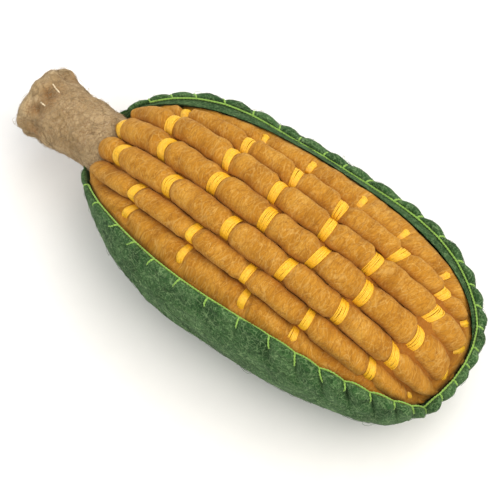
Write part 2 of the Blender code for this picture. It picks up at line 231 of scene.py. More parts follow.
def felted_wool(name, shades, fibre_tints, mottle, stretch, sheen, sheen_tint, contrast):
    """Felt in three shades from dark to light, and a fourth colour for painted shade in grooves and dimples,
    with dark and light fibres.
    """
    material, shader = new_material(
        name, WOOL_ROUGHNESS, IOR=WOOL_IOR, Sheen_Weight=sheen, Sheen_Roughness=0.45,
        Specular_IOR_Level=0.25, Sheen_Tint=linear(sheen_tint),
    )
    place = attribute(material, "felt_place", "Vector")
    run = add_node(material, "ShaderNodeMapping", Vector=place, Scale=stretch).outputs["Vector"]

    blend = noise(material, run, mottle, Detail=4.0, Roughness=0.6)
    ramp = add_node(material, "ShaderNodeValToRGB", Fac=blend)
    for stop, (where, shade) in enumerate(zip(SHADE_PLACES, shades)):
        element = ramp.color_ramp.elements[stop] if stop < 2 else ramp.color_ramp.elements.new(where)
        element.position = where
        element.color = linear(shade)
    colour = ramp.outputs["Color"]

    relief = None
    for number, (size, width, strength, tint) in enumerate(FIBRE_LINES):
        shifted = add_node(
            material, "ShaderNodeMapping", Vector=run, Location=[shift * number for shift in LAYER_SHIFT],
        ).outputs["Vector"]
        field = noise(material, shifted, size, Detail=0.6, Distortion=0.6)
        off = add_node(material, "ShaderNodeMath", {"operation": "SUBTRACT"}, _0=field, _1=0.5)
        away = add_node(material, "ShaderNodeMath", {"operation": "ABSOLUTE"}, _0=off.outputs[0])
        line = add_node(
            material, "ShaderNodeMapRange", {"interpolation_type": "SMOOTHSTEP"}, Value=away.outputs[0],
            From_Min=0.0, From_Max=width, To_Min=strength * contrast, To_Max=0.0,
        ).outputs["Result"]
        colour = mixed(material, line, colour, linear(fibre_tints[tint]))
        relief = line if relief is None else add_node(
            material, "ShaderNodeMath", {"operation": "MAXIMUM"}, _0=relief, _1=line,
        ).outputs[0]

    fuzz = noise(material, run, FUZZ_SIZE, Detail=3.0, Roughness=0.7)
    # painted shade: the mesh's painted_shade attribute mixes in the fourth, darkest colour, standing in for
    # shade in grooves and dimples
    colour = mixed(material, attribute(material, "painted_shade", "Fac"), colour, linear(shades[3]))
    set_toned_colour(material, shader, colour, fuzz, (0.25, 0.75), (0.86, 1.12))
    height = add_node(material, "ShaderNodeMath", {"operation": "MULTIPLY_ADD"}, _0=relief, _1=0.7, _2=fuzz)
    bump = add_node(
        material, "ShaderNodeBump", Strength=0.55, Distance=BUMP_DEPTH * MM, Height=height.outputs[0],
    )
    material.node_tree.links.new(bump.outputs["Normal"], shader.inputs["Normal"])
    return material


# The fourth colour of each felt is painted shade, for its grooves, folds and dimples.
green_felt = felted_wool(
    "wet-felted_wool_leaf_green", shades=("#203F1A", "#315629", "#446538", "#142E10"),
    fibre_tints=("#122C0C", "#7F9C68"), mottle=9.0, stretch=(1, 1, 1),
    sheen=0.12, sheen_tint="#BFD8B0", contrast=1.0,
)
ochre_felt = felted_wool(
    "needle-felted_wool_ochre", shades=("#A06917", "#B47B21", "#C28C31", "#8C4C0D"),
    fibre_tints=("#7E4B10", "#D6AC60"), mottle=8.0, stretch=(1, 0.45, 1),
    sheen=0.12, sheen_tint="#FFDFA0", contrast=0.55,
)
beige_felt = felted_wool(
    "wet-felted_wool_beige", shades=("#988058", "#AB926B", "#BCA47B", "#855B2C"),
    fibre_tints=("#765B3C", "#BCA889"), mottle=8.0, stretch=(1, 0.6, 1),
    sheen=0.15, sheen_tint="#F4E8D0", contrast=0.85,
)
print("felts:", [m.name for m in (green_felt, ochre_felt, beige_felt)])

# %% [markdown]
# Embroidery floss is mercerised cotton: the fibres are swollen smooth, which makes it silky. Each strand is
# modelled, so the material only needs a low roughness and a small change of tone from strand to strand,
# with painted shade darkening it where the band dives between the rolls. The sewing threads are plied
# cotton, duller and fuzzier.

# %% Cotton threads
COTTON_IOR = 1.53
TONE_SIZE = 0.7  # mm


def cotton_thread(name, bright, deep, roughness, sheen):
    """Cotton dyed bright, with a darker colour of painted shade mixed in where the mesh says that it lies
    low.
    """
    material, shader = new_material(
        name, roughness, IOR=COTTON_IOR, Sheen_Weight=sheen, Specular_IOR_Level=0.45,
    )
    place = attribute(material, "felt_place", "Vector")
    # painted shade: the second colour stands in for the shade where the thread lies low
    colour = mixed(material, attribute(material, "painted_shade", "Fac"), linear(bright), linear(deep))
    tone = noise(material, place, TONE_SIZE, Detail=2.0)
    set_toned_colour(material, shader, colour, tone, (0.3, 0.7), (0.84, 1.1))
    return material


# The second colour of each thread is painted shade; only the floss gets any, the sewing threads get none.
yellow_floss = cotton_thread("mercerised_cotton_floss_yellow", "#F2BD2C", "#CC7C0C", 0.38, 0.0)
lime_thread = cotton_thread("plied_cotton_thread_lime", "#8BB54C", "#4F7C33", 0.7, 0.2)
cream_thread = cotton_thread("plied_cotton_thread_cream", "#EAD8B4", "#B89A6C", 0.7, 0.2)
MATERIALS = {  # by the name of the slot
    "green_felt": green_felt, "ochre_felt": ochre_felt, "beige_felt": beige_felt,
    "yellow_floss": yellow_floss, "lime_thread": lime_thread, "cream_thread": cream_thread,
}
print("materials:", {slot: material.name for slot, material in MATERIALS.items()})

# %% [markdown]
# ## Meshes from arrays
# Every piece is a skin of points in rows, or a bundle of thin tubes. Both are written as arrays of points,
# so that one formula moves a whole row at once. Two attributes go with each mesh: where the felt lies, for
# the textures, and how much painted shade the place gets: a darker colour mixed in to stand for the shade
# down in the grooves, creases and dimples.

# %% Mesh helpers
def finish_mesh(name, points, faces, slot, place=None, painted_shade=None, replaces=()):
    """Makes a smooth piece from points in millimetres, and says what it is to the frame."""
    mesh = bpy.data.meshes.new(name)
    mesh.from_pydata(in_frame(points).tolist(), [], faces)
    mesh.validate()
    mesh.shade_smooth()
    where = mesh.attributes.new("felt_place", "FLOAT_VECTOR", "POINT")
    where.data.foreach_set("vector", (np.asarray(points if place is None else place) * MM).ravel())
    # painted shade: the share of the material's darker shade colour that is mixed in at each point
    sunk = mesh.attributes.new("painted_shade", "FLOAT", "POINT")
    sunk.data.foreach_set("value", np.zeros(len(points)) if painted_shade is None else np.asarray(painted_shade).ravel())
    piece = bpy.data.objects.new(name, mesh)
    mesh.materials.append(MATERIALS[slot])
    bpy.context.scene.collection.objects.link(piece)
    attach(piece, "root")
    if replaces:
        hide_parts(*replaces)
    return piece


def skin_faces(rows, columns, first_cap, last_cap):
    """Faces of a closed skin: rings of points joined in turn, with a fan at each end."""
    faces = []
    for row in range(rows - 1):
        for i in range(columns):
            j = (i + 1) % columns
            low, high = row * columns, (row + 1) * columns
            faces.append((low + i, low + j, high + j, high + i))
    for start, cap, turned in ((0, first_cap, True), ((rows - 1) * columns, last_cap, False)):
        for i in range(columns):
            j = (i + 1) % columns
            faces.append((start + j, start + i, cap) if turned else (start + i, start + j, cap))
    return faces


def skin(name, rings, caps, slot, place=None, painted_shade=None, replaces=()):
    """A closed skin from rings (rows, columns, 3) and the two points that close it."""
    rows, columns, _ = rings.shape
    points = np.concatenate([rings.reshape(-1, 3), np.asarray(caps)])
    first_cap = rows * columns
    if place is not None:
        place = np.concatenate([place.reshape(-1, 3), np.asarray(caps)])
    if painted_shade is not None:
        painted_shade = np.concatenate([painted_shade.ravel(), [painted_shade.ravel()[0], painted_shade.ravel()[-1]]])
    faces = skin_faces(rows, columns, first_cap, first_cap + 1)
    return finish_mesh(name, points, faces, slot, place, painted_shade, replaces)


def unit(vectors):
    return vectors / np.maximum(np.linalg.norm(vectors, axis=-1, keepdims=True), 1e-9)


def tube_points(paths, normals, radii, sides):
    """Rings of points round paths (count, steps, 3), with the radius of each step."""
    ahead = unit(np.gradient(paths, axis=1))
    side = unit(np.cross(ahead, normals))
    up = np.cross(side, ahead)
    turn = 2 * np.pi * np.arange(sides) / sides
    ring = side[..., None, :] * np.cos(turn)[:, None] + up[..., None, :] * np.sin(turn)[:, None]
    return paths[..., None, :] + ring * np.broadcast_to(radii, paths.shape[:2])[..., None, None]


def tubes(name, paths, normals, radii, sides, slot, painted_shade=None):
    """A bundle of closed thin tubes along paths (count, steps, 3)."""
    count, steps, _ = paths.shape
    points = tube_points(paths, normals, radii, sides).reshape(-1, 3)
    first = np.arange(count)[:, None, None] * steps * sides
    ring = first + np.arange(steps - 1)[None, :, None] * sides
    i = np.arange(sides)[None, None, :]
    j = (i + 1) % sides
    quads = np.stack([ring + i, ring + j, ring + sides + j, ring + sides + i], -1).reshape(-1, 4)
    around = np.arange(sides)
    ends = np.concatenate([first[:, 0] + around[::-1], first[:, 0] + (steps - 1) * sides + around])
    if painted_shade is not None:
        painted_shade = np.repeat(np.broadcast_to(painted_shade, (count, steps)).ravel(), sides)
    return finish_mesh(name, points, quads.tolist() + ends.tolist(), slot, painted_shade=painted_shade)


def soft_field(points, size, seed, waves=12):
    """A smooth random field of about unit strength whose bumps are about this size, at each point."""
    draw = np.random.default_rng(seed)
    heading = unit(draw.normal(size=(waves, 3))) * 2 * np.pi / (size * draw.uniform(0.7, 1.6, (waves, 1)))
    phase = draw.uniform(0, 2 * np.pi, waves)
    return np.cos(np.asarray(points) @ heading.T + phase).sum(-1) * math.sqrt(2 / waves)


def smooth_step(low, high, values):
    t = np.clip((values - low) / (high - low), 0, 1)
    return t * t * (3 - 2 * t)


# %% [markdown]
# ## The two forms
# The husk and the rows of kernels follow two rounded forms, one inside the other. Both are blunter at the
# tip than at the stem. A point is found by sending a ray out from the middle of the cob, and it can be
# sunk by a depth, so that the inside of the felt follows its outside.

# %% Forms
WIDEST_LEVEL = 26.4
HUSK = {"sizes": (75.0, 38.2, 30.1, 26.9), "bluntness": (2.42, 2.05)}  # half length, half width, rise, drop
DOME = {"sizes": (72.2, 35.3, 30.5, 23.5), "bluntness": (2.45, 2.0)}  # bluntness of the tip, of the stem end
DOME_MEAN_RADIUS = 32.5


def form_point(form, direction, depth=0.0):
    """Where rays from the middle of the cob leave a form, sunk by a depth."""
    cx, cy, cz = np.moveaxis(np.asarray(direction, float), -1, 0)
    length, width, rise, drop = form["sizes"]
    blunt = np.where(cx > 0, *form["bluntness"])
    reach = (np.abs(cx) ** blunt + (cy ** 2 + cz ** 2) ** (blunt / 2)) ** (-1 / blunt)
    x = (length - depth) * cx * reach
    y = (width - depth) * cy * reach
    z = WIDEST_LEVEL + np.where(cz > 0, rise - depth, drop - depth) * cz * reach
    return np.stack([x, y, np.maximum(z, 0.0)], -1)


def compass(azimuth, height):
    """Directions from compass angles round the cob and angles above the widest level, in degrees."""
    a, h = np.radians(np.broadcast_arrays(azimuth, height))
    return np.stack([np.cos(h) * np.cos(a), np.cos(h) * np.sin(a), np.sin(h)], -1)


print("top of the husk's form, and of the rows' dome:", [
    float(form_point(form, (0, 0, 1))[2]) for form in (HUSK, DOME)
])


# %% [markdown]
# The felt's free edge rises and dips round the cob: high at both sides, low beside the stem, with a sharp
# corner near the tip where the two ends of the husk meet.

# %% The felt's edge
RIM_HEIGHTS = {
    -180: -20, -166: -12, -150: 2.5, -135: 17, -120: 24.7, -100: 29.6, -85: 31.4, -70: 31, -55: 24, -40: 16,
    -31: 7.6, -24: -0.3, -17: 7, -2: 10, 14: 13, 30: 14, 45: 15, 60: 22, 75: 29, 95: 32, 110: 31,
    125: 25, 140: 18, 153: 9, 166: -5, 180: -18,
}
RIM_CORNER = -24.0
RIM_EASING = 6.0
# How far the felt stands out from the round form, at its edge and lower down the wall
EDGE_FULLNESS = {
    -180: 0, -150: -1.2, -138: -0.3, -120: 0.9, -92: 1.2, -58: 1.2, -40: 0.7, -24: 0.8, -8: 0.6, 0: 0.4,
    12: 0.6, 24: 1.0, 35: 0.6, 55: 2.1, 65: 1.3, 80: 0.2, 105: 0, 120: 1.7, 132: 2.1, 144: 1.0, 156: -0.3,
    165: 0, 180: 0,
}
WALL_FULLNESS = {
    -180: -1.0, -165: -1.2, -150: -2.0, -136: -1.4, -120: 0.8, -105: 1.3, -88: 0.3, -70: 0, -54: 0.4,
    -44: 1.2, -34: 2.0, -24: -0.4, -8: -2.2, 6: -3.0, 18: -2.8, 28: -1.4, 40: -0.3, 140: 0, 156: -0.7,
    180: -1.0,
}
WALL_BEGINS = 0.25  # share of the way down to the belly at which the wall has its own fullness
BELLY_BEGINS = 0.42  # from here on the fullness fades, so that the belly keeps the round form
EDGE_THICKNESS = 1.6
TUCK = 8.5  # degrees below the felt's edge at which the rolls meet its inside
TUCK_LEAN = 1.5  # more on the near side and less on the far side


def wrap(azimuth):
    return (np.asarray(azimuth) + 180.0) % 360.0 - 180.0


def at_compass(values, azimuth):
    return np.interp(wrap(azimuth), list(values), list(values.values()))


def listed(values, azimuth, window):
    """Listed values at compass angles, eased over a window round each."""
    return np.mean([at_compass(values, azimuth + s * window) for s in (-1.0, -0.5, 0.0, 0.5, 1.0)], axis=0)


def rim_height(azimuth):
    """The height angle of the felt's edge, eased everywhere but at the corner."""
    azimuth = wrap(azimuth)
    return listed(RIM_HEIGHTS, azimuth, np.minimum(RIM_EASING, np.abs(azimuth - RIM_CORNER) / 2))


def felt_point(azimuth, height, depth=0.0, share=0.0):
    """Points of the felt, at a depth in it and a share of the way from its edge down to the belly."""
    wall = smooth_step(0.0, WALL_BEGINS, share)
    edge = listed(EDGE_FULLNESS, azimuth, RIM_EASING)
    fullness = edge + (listed(WALL_FULLNESS, azimuth, RIM_EASING) - edge) * wall
    fading = np.minimum((1.0 - np.asarray(share)) / (1.0 - BELLY_BEGINS), 1.0)
    return form_point(HUSK, compass(azimuth, height), depth - fullness * fading)


def tuck(azimuth):
    return TUCK - TUCK_LEAN * np.sin(np.radians(azimuth))


def height_above_wall(direction):
    """How far directions are above the place where the rolls meet the inside of the felt, in degrees."""
    azimuth = np.degrees(np.arctan2(direction[..., 1], direction[..., 0]))
    return np.degrees(np.arcsin(direction[..., 2])) - rim_height(azimuth) + tuck(azimuth)


print("the felt's edge is between", min(RIM_HEIGHTS.values()), "and", max(RIM_HEIGHTS.values()), "degrees up")


# %% [markdown]
# The blanket stitch was worked by hand, so its legs are unevenly spaced, about 9 mm apart on the far side
# and 11 mm on the near side. Each leg pulls the edge in, and the felt puffs out between two legs: that is
# what makes the scallops.

# %% Stitch places
STITCHES = (  # compass angles of the legs, from the corner near the tip right round to it
    -24, -16, -7, 3, 12, 22, 31, 39, 47, 55, 62, 69, 78, 86, 93, 102, 109, 118, 127, 136, 144, 152, 161, 170,
    180, 190, 200, 211, 221, 232, 240, 248, 258, 268, 279, 289, 297, 304, 311, 318, 325, 331,
)
COLUMNS_PER_STITCH = 14
PUFF = {  # how strongly the felt puffs out between the legs, by compass angle
    -180: 0.4, -150: 0.3, -120: 0.4, -100: 0.6, -80: 0.9, -62: 1.5, -50: 1.9, -28: 1.7, -10: 1.1, 110: 1.0,
    145: 0.5, 180: 0.4,
}

legs = np.array(STITCHES + (STITCHES[0] + 360,), float)
counted = np.arange(len(STITCHES) * COLUMNS_PER_STITCH)
columns = np.interp(counted / COLUMNS_PER_STITCH, range(len(legs)), legs)
between = (counted % COLUMNS_PER_STITCH) / COLUMNS_PER_STITCH
scallop = np.sin(np.pi * between) ** 0.6
puff = at_compass(PUFF, columns)
edge_heights = rim_height(columns)
print(len(STITCHES), "stitches,", len(columns), "columns round the edge")

# %% [markdown]
# ## The husk
# A sheet of thick green felt, wrapped round the padding and left open at the top. A closed skin is used
# rather than a sheet with a thickness added, because the edge has a shape of its own: it swells between
# the stitches and is squeezed at each leg. On the far side the inside of the felt lies up over the outermost
# roll, and shows as a strip within the line of the stitch, darkened with painted shade. Painted shade also
# darkens the felt beside each leg, in the folds under the strongest lobes and further down inside. Shallow
# creases run along the wall, where the felt was pulled round the belly.

# %% Husk
WALL_SHARES = np.concatenate([np.linspace(0.97, 0.2, 40), np.linspace(0.18, 0.012, 22)])
EDGE_TURNS = np.radians(np.linspace(0, 180, 11))  # over the edge from its outer side to its inner side
INSIDE_SHARES = np.linspace(0.12, 1.0, 8)
MEETINGS = {  # share of the tuck at which the inside of the felt meets the rolls, by compass angle
    -180: 0.4, -150: 0.5, -10: 0.5, 20: 0.25, 150: 0.25, 180: 0.4,
}
HUG = 0.15  # mm between the two
LINING_RISE = {  # degrees that the inside lies up over the rolls before it goes down between felt and wool
    -180: 0.0, 12: 0.0, 30: 4.0, 48: 7.2, 120: 7.6, 150: 5.5, 172: 0.0, 180: 0.0,
}
EDGE_FOOT = 0.9  # degrees below the edge's height at which its rounding begins
EDGE_CROWN = 2.6  # degrees that the rounding rises from there
LOBE_CROWN = 0.55  # share that a lobe adds to it
LOBE_THICKNESS = 0.35  # share that a lobe adds to the edge's thickness
UNDER_TUCK = 5.0  # degrees that the inside goes on below the tuck
SCALLOP_SWELL = 0.7
NOTCH_DEPTH = 1.0
LEG_LENGTH_SHARE = 0.1  # share of the wall below the edge that a leg reaches down
CREASE_DEPTH = 0.35
CREASE_SIZE = 9.0
WALL_SWELL = 0.25
FLOOR_DEPTH = 9.5  # mm under the dome at which the skin closes, out of sight
LEG_PAINTED_SHADE = 0.35  # painted shade on the squeezed felt beside a leg
FOLD_PAINTED_SHADE = 0.6  # painted shade in the fold between two strong lobes
# painted shade on the inside of the felt that shows within the line of the stitch
LINING_PAINTED_SHADE = 0.22

notch = (NOTCH_DEPTH - (NOTCH_DEPTH + SCALLOP_SWELL) * scallop) * puff


def outer_wall():
    reach_down = LEG_LENGTH_SHARE * np.clip(puff, 0.8, 1.4)
    rings = []
    for share in WALL_SHARES:
        height = edge_heights + (-90.0 - edge_heights) * share
        near_edge = np.clip(1.0 - share / reach_down, 0, 1)
        rings.append(felt_point(columns, height, notch * near_edge ** 0.7, share))
    rings = np.array(rings)
    outward = unit(rings - np.array([0.0, 0.0, WIDEST_LEVEL]))
    side_share = np.sin(np.pi * np.clip(WALL_SHARES, 0, 0.7) / 0.7)[:, None]
    lengthwise = rings * np.array([0.25, 1.0, 1.0])
    crease = -np.abs(soft_field(lengthwise, CREASE_SIZE, 11)) * CREASE_DEPTH
    crease = crease + soft_field(rings, 22.0, 12) * WALL_SWELL
    return rings + outward * (crease * side_share)[..., None]


def edge_and_inside():
    rings = []
    middle_depth = EDGE_THICKNESS / 2
    for turn in EDGE_TURNS:
        swell = 1.0 + LOBE_CROWN * scallop * puff * np.sin(turn)
        depth = middle_depth - middle_depth * math.cos(turn) * (1.0 + LOBE_THICKNESS * scallop * puff)
        outer_share = (1.0 + math.cos(turn)) / 2
        crown = EDGE_CROWN * math.sin(turn) * swell - EDGE_FOOT
        rings.append(felt_point(columns, edge_heights + crown, depth + notch * outer_share))
    down = tuck(columns) * listed(MEETINGS, columns, RIM_EASING)
    rise = listed(LINING_RISE, columns, RIM_EASING)
    rise = rise - down * (1 - smooth_step(0.0, 2.5, rise))
    inner_corner = edge_heights - EDGE_FOOT
    for share in INSIDE_SHARES:
        height = inner_corner + rise * share
        free = felt_point(columns, height, EDGE_THICKNESS)
        on_rolls = form_point(DOME, compass(columns, height), -HUG)
        rings.append(free + (on_rolls - free) * share)
    for share in INSIDE_SHARES:
        height = inner_corner + rise - (rise + tuck(columns) + UNDER_TUCK) * share
        rings.append(form_point(DOME, compass(columns, height), -HUG + share))
    foot = inner_corner - tuck(columns) - UNDER_TUCK
    for share in (0.12, 0.4, 0.75):
        rings.append(form_point(DOME, compass(columns, foot + (90 - foot) * share), FLOOR_DEPTH))
    return np.array(rings)


husk_rings = np.concatenate([outer_wall(), edge_and_inside()])
wall_end = len(WALL_SHARES)
lining_start = wall_end + len(EDGE_TURNS)
lining_end = lining_start + len(INSIDE_SHARES) + 1
# Painted shade on the husk: on the strip within the stitch, growing darker further down inside the felt,
# beside each leg and in the folds below the strongest lobes.
inside = np.zeros(husk_rings.shape[:2])
inside[lining_start:lining_end] = LINING_PAINTED_SHADE
inside[lining_end:] = np.linspace(0.1, 0.6, len(husk_rings) - lining_end)[:, None]
beside_leg = np.clip(1 - np.abs(between - np.round(between)) / 0.1, 0, 1)
inside[wall_end - 8:wall_end + 8] += LEG_PAINTED_SHADE * beside_leg
down_the_wall = np.clip(1 - WALL_SHARES / 0.16, 0, 1)[:, None]
inside[:wall_end] += FOLD_PAINTED_SHADE * beside_leg * np.clip(puff - 0.8, 0, 1) * down_the_wall
husk = skin(
    "husk_felt", husk_rings, [(0, 0, 0), form_point(DOME, (0, 0, 1), FLOOR_DEPTH)],
    "green_felt", painted_shade=inside, replaces=("husk",),
)
print("husk:", len(husk.data.polygons), "faces")

# %% [markdown]
# ## The rows of kernels
# Each row is a roll of carded wool, felted with a needle and laid along the dome. Rows keep an even width
# across the dome instead of running to one point, so the outer ones are cut short by the felt's edge. At
# every band of floss the roll is pinched and it bulges out on both sides, which makes the kernels.

# %% Rows and bands
ROWS = {  # distance across the dome, drift and bow over the half length, depth of the crest under the dome
    1: (-29.6, -6.5, 0.0, 0.5), 2: (-21.5, -3.9, 3.0, 0.2), 3: (-12.0, -4.2, 2.4, 0.0),
    4: (-2.5, -4.0, 1.9, 0.0), 5: (8.2, -4.2, 3.2, 0.0), 6: (17.8, -4.3, 2.8, 0.2),
    7: (25.6, -1.6, -1.0, 0.4),
}
BANDS = {  # distances along the row from the middle of the cob
    1: (-45, -18.3, 7.5, 27.6, 45.5),
    2: (-45.9, -19, 4.3, 29.2, 55.5, 74),
    3: (-61, -35.6, -9.3, 14.3, 37, 59.3),
    4: (-70, -46.5, -22.4, -0.8, 20.6, 39.7, 62, 81),
    5: (-52, -24.9, -4.3, 17, 36, 61.4, 79.5),
    6: (-53.4, -24.2, -3.4, 15.3, 40.2, 59.3, 73),
    7: (-22.3, -2.9, 18, 35.6, 55),
}
MEAN_BOW = 0.3
NEAR_ROW_EDGE = -41.0  # the outermost rolls reach under the felt's edge, which cuts them shorter
FAR_ROW_EDGE = 40.0
FARTHEST_ROUND = 112.0  # degrees round the dome from its top, beyond which no row goes
LEAST_WIDTH = 2.6
STATION_STEP = 0.25  # degrees along the dome
SAMPLES_ACROSS = 121

angles = np.radians(np.arange(4.0, 177.5, STATION_STEP))
along_x, ring_r = -np.cos(angles), np.sin(angles)
tops = form_point(DOME, np.stack([along_x, 0 * ring_r, ring_r], -1))
shares = tops[:, 0] / DOME["sizes"][0]
scales = (tops[:, 2] - WIDEST_LEVEL) / DOME["sizes"][2]


def station_direction(station, across):
    """Directions at places across the dome, for fractional station numbers."""
    numbers = np.arange(len(angles))
    cx, r, scale = (np.interp(station, numbers, values) for values in (along_x, ring_r, scales))
    turn = across / (DOME_MEAN_RADIUS * scale)
    return np.stack([cx + 0 * turn, r * np.sin(turn), r * np.cos(turn)], -1)


def row_middle(number):
    at, drift, bow, _ = ROWS[number]
    return at + drift * shares + bow * (shares ** 2 - MEAN_BOW)


def full_span(number):
    """The two sides of a row at every station, whether the felt covers them or not."""
    middle = row_middle(number)
    low = (middle + row_middle(number - 1)) / 2 if number > 1 else NEAR_ROW_EDGE + 0 * middle
    high = (middle + row_middle(number + 1)) / 2 if number < len(ROWS) else FAR_ROW_EDGE + 0 * middle
    reach = math.radians(FARTHEST_ROUND) * DOME_MEAN_RADIUS * scales
    return np.maximum(low, -reach), np.minimum(high, reach)


def row_span(number):
    """The two sides of a row inside the felt's edge at every station, and which stations it has."""
    low, high = full_span(number)
    t = np.linspace(0, 1, SAMPLES_ACROSS)
    across = low[:, None] + (high - low)[:, None] * t
    inside = height_above_wall(station_direction(np.arange(len(angles))[:, None], across)) > 0
    inside &= (high > low)[:, None]
    any_inside = inside.any(1)
    first = across[np.arange(len(across)), inside.argmax(1)]
    last = across[np.arange(len(across)), SAMPLES_ACROSS - 1 - inside[:, ::-1].argmax(1)]
    return first, last, any_inside & (last - first > LEAST_WIDTH)


def ease(values, reach):
    """Averages a list of values over their neighbours, keeping its length."""
    padded = np.pad(values, reach, mode="edge")
    kernel = np.hanning(2 * reach + 3)[1:-1]
    return np.convolve(padded, kernel / kernel.sum(), mode="valid")


# %% [markdown]
# The stem's top is a little higher than the dome near its end, so the rows over it stop where they meet
# it. The same test gives each row its rounded stem end.

# %% Where a row begins and ends
STEM_LEVEL = 24.0
CLEAR_OF_STEM = -58.0  # from here on a row is past the stem's root
STEM_RADIUS = 11.1
CREST_OVER_STEM = 1.5
CREST_ROOM = 0.35  # share of the width left that the crest keeps from either side of it
SIDE_EASING = 12  # stations over which a cut side is smoothed


def row_path(number):
    """A row's stations, sides and distance along its crest, from the stem to the tip."""
    low, high, there = row_span(number)
    stations = np.arange(len(angles))
    crest = form_point(DOME, station_direction(stations, (low + high) / 2))
    reach = np.hypot(crest[:, 1] - STEM_OFFSET, crest[:, 2] - STEM_LEVEL)
    there &= (crest[:, 0] > CLEAR_OF_STEM) | (reach > STEM_RADIUS + CREST_OVER_STEM)
    kept = stations[there]
    full_low, full_high = (side[there] for side in full_span(number))
    middle = row_middle(number)[there]
    low, high, crest = ease(low[there], SIDE_EASING), ease(high[there], SIDE_EASING), crest[there]
    steps = np.linalg.norm(np.diff(crest, axis=0), axis=1)
    along = np.concatenate([[0.0], np.cumsum(steps)])
    along -= np.interp(0.0, crest[:, 0], along)
    room = CREST_ROOM * (high - low)
    middle = np.minimum(np.maximum(middle, low + room), high - room)
    return {
        "station": kept, "low": low, "high": high, "along": along, "crest": middle,
        "full_low": full_low, "full_high": full_high,
    }


print("middle row:", round(float(np.ptp(row_path(4)["along"])), 1), "mm long")

# %% [markdown]
# A roll is round on top and goes straight down at its sides into its neighbour. It is closed at both ends
# like a bolster. The wool is never quite even, so its surface gets slow swells and small dents.

# %% Rolls
ROLL_STEP = 0.5  # mm between rings
ROLL_TURNS = np.radians(np.linspace(-90, 90, 31))
HALF_WIDTH = 4.6  # mm round a roll to each radian, for the felting pattern
ROLL_CROWN = 3.7  # how far the side of a roll falls below its crest
PINCH_DROP = 1.7
PINCH_NARROWING = 0.1
BAND_HALF = 1.7
KERNEL_SHOULDER = 2.6
SEWING_GAP = 0.1
STEM_END_ROUND = 3.6  # how far from its end a roll begins to fall away
STEM_END_DROP = 2.6
STEM_END_NARROWING = 0.4
TIP_END_ROUND = 1.6
TIP_END_DROP = 1.2
END_MARGIN = 2.6  # no band is nearer than this to the end of its row
SWELLS = 0.13  # mm, slow unevenness of the wool
DENTS = 0.04
# painted shade down the sides of a roll, where it goes into the groove
GROOVE_PAINTED_SHADE = 0.65
OUTER_FALL = {1: 0.15, 7: 0.5}  # the share of its fall that an outermost roll has on the side of the felt
FLOSS_REACH = {1: 2.4, 7: 0.3}  # how far the floss runs towards the felt; beyond it the wool is plain
rng = np.random.default_rng(7)
row_shapes = {}


def pinch(distances, bands):
    """How strongly each place along a row is pinched, from 0 to 1."""
    gap = np.min(np.abs(distances[:, None] - np.array(bands)[None, :]), axis=1)
    return 1 - smooth_step(BAND_HALF * 0.75, BAND_HALF + KERNEL_SHOULDER, gap)


def against_felt(number):
    """Which side of a row lies against the felt: -1 the near side, 1 the far side, 0 neither."""
    return {1: -1.0, len(ROWS): 1.0}.get(number, 0.0)


def roll_surface(number, distances, turns, lift):
    """Points on a roll at distances along it and turns round it, lifted off its surface."""
    path = row_shapes[number]["path"]
    along = path["along"]
    station, low, high, full_low, full_high, middle = (
        np.interp(distances, along, path[key])[:, None]
        for key in ("station", "low", "high", "full_low", "full_high", "crest")
    )
    squeeze = pinch(distances, row_shapes[number]["bands"])
    stem_round = 1 - np.sqrt(1 - np.clip(1 - (distances - along[0]) / STEM_END_ROUND, 0, 1) ** 2)
    tip_round = 1 - np.sqrt(1 - np.clip(1 - (along[-1] - distances) / TIP_END_ROUND, 0, 1) ** 2)
    squeeze, stem_round, tip_round = squeeze[:, None], stem_round[:, None], tip_round[:, None]
    felt_side = turns * against_felt(number) > 0
    side = np.where(turns > 0, full_high - middle, middle - full_low) - SEWING_GAP / 2
    side = side * (1 - PINCH_NARROWING * np.where(felt_side, 0.0, squeeze))
    side = side * (1 - STEM_END_NARROWING * stem_round)
    across = middle + side * np.sin(turns)
    bound = FLOSS_REACH.get(number, 0.0)
    plain = np.where(felt_side, smooth_step(bound - 1.0, bound + 2.0, np.abs(across - middle)), 0.0)
    across = np.clip(across, low + SEWING_GAP / 2, high - SEWING_GAP / 2)
    drop = ROWS[number][3] + PINCH_DROP * squeeze * (1 - plain)
    drop = drop + STEM_END_DROP * stem_round + TIP_END_DROP * tip_round
    curve = 0.45 * (1 - np.cos(turns)) + 0.55 * np.sin(turns) ** 2
    fall = np.where(felt_side, OUTER_FALL.get(number, 1.0), 1.0) * ROLL_CROWN * curve
    return form_point(DOME, station_direction(station, across), drop + fall - lift)


